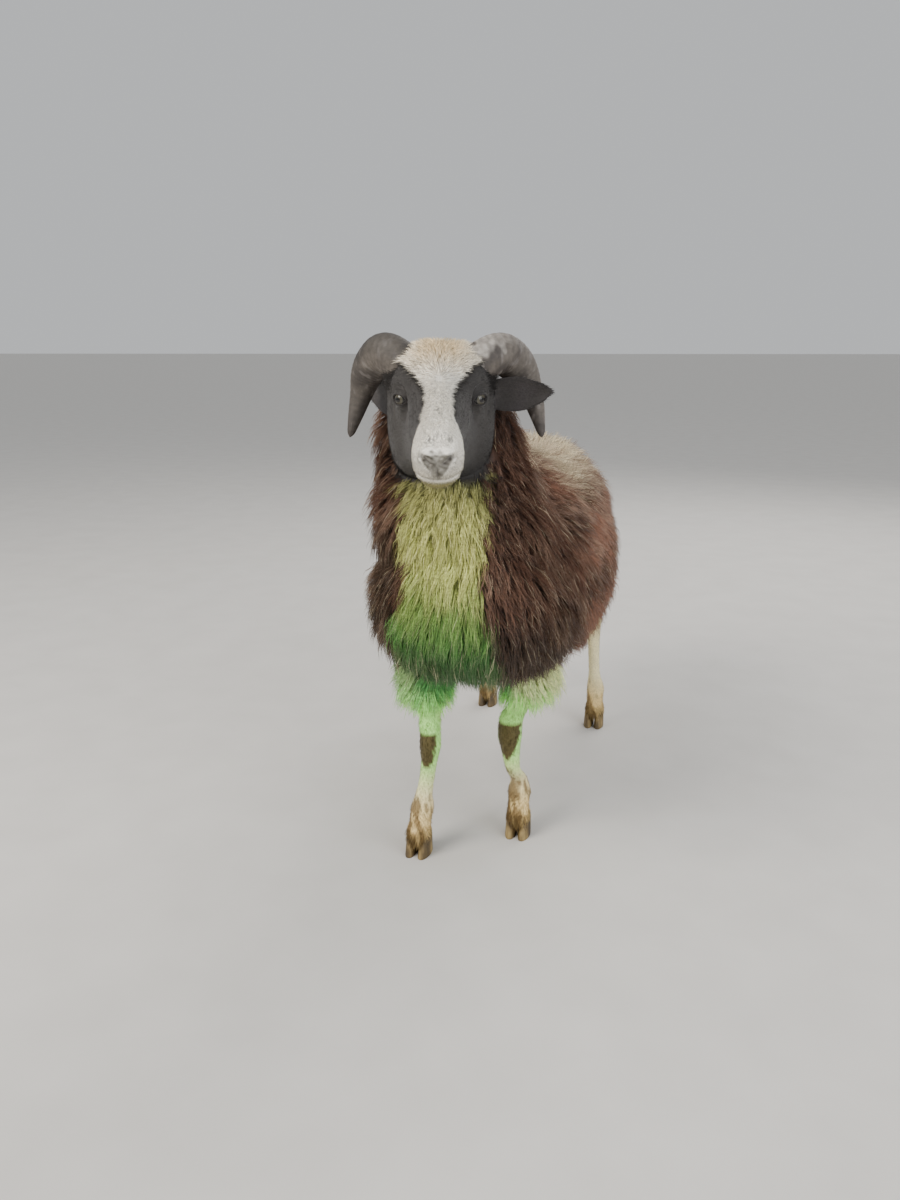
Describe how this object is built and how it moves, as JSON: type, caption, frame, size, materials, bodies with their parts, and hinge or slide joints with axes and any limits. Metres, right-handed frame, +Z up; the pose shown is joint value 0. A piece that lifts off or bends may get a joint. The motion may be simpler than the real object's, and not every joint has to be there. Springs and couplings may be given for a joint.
{
  "type": "jacob sheep",
  "caption": "Still, life-size piebald sheep standing with its head turned, with curled horns and a long shaggy fleece.",
  "frame": {"origin": "on the floor under the middle of the sheep's bounding box", "axes": "+Y runs from the nose to the tail, +X to the sheep's left, +Z up; the sheep faces -Y"},
  "size_m": [0.3536, 0.9267, 0.7742],
  "materials": {
    "dark fleece": "matte, dark reddish-brown wool with cream and green-stained parts",
    "face fur": "matte short fur, black with a white blaze",
    "pale leg fur": "matte short fur, cream",
    "horn": "ridged dark horn",
    "hoof": "muddy brown hoof horn",
    "eye": "wet amber eye"
  },
  "bodies": {
    "root": {"trunk": "dark fleece", "neck": "dark fleece", "head": "face fur", "tail": "dark fleece", "foreleg_left": "pale leg fur", "foreleg_right": "pale leg fur", "hindleg_left": "pale leg fur", "hindleg_right": "pale leg fur", "horn_left": "horn", "horn_right": "horn", "ear_left": "face fur", "ear_right": "face fur", "eye_left": "eye", "eye_right": "eye", "claw_fore_left_outer": "hoof", "claw_fore_left_inner": "hoof", "claw_fore_right_outer": "hoof", "claw_fore_right_inner": "hoof", "claw_hind_left_outer": "hoof", "claw_hind_left_inner": "hoof", "claw_hind_right_outer": "hoof", "claw_hind_right_inner": "hoof", "dewclaw_fore_left_outer": "hoof", "dewclaw_fore_left_inner": "hoof", "dewclaw_fore_right_outer": "hoof", "dewclaw_fore_right_inner": "hoof", "dewclaw_hind_left_outer": "hoof", "dewclaw_hind_left_inner": "hoof", "dewclaw_hind_right_outer": "hoof", "dewclaw_hind_right_inner": "hoof"}
  },
  "joints": []
}
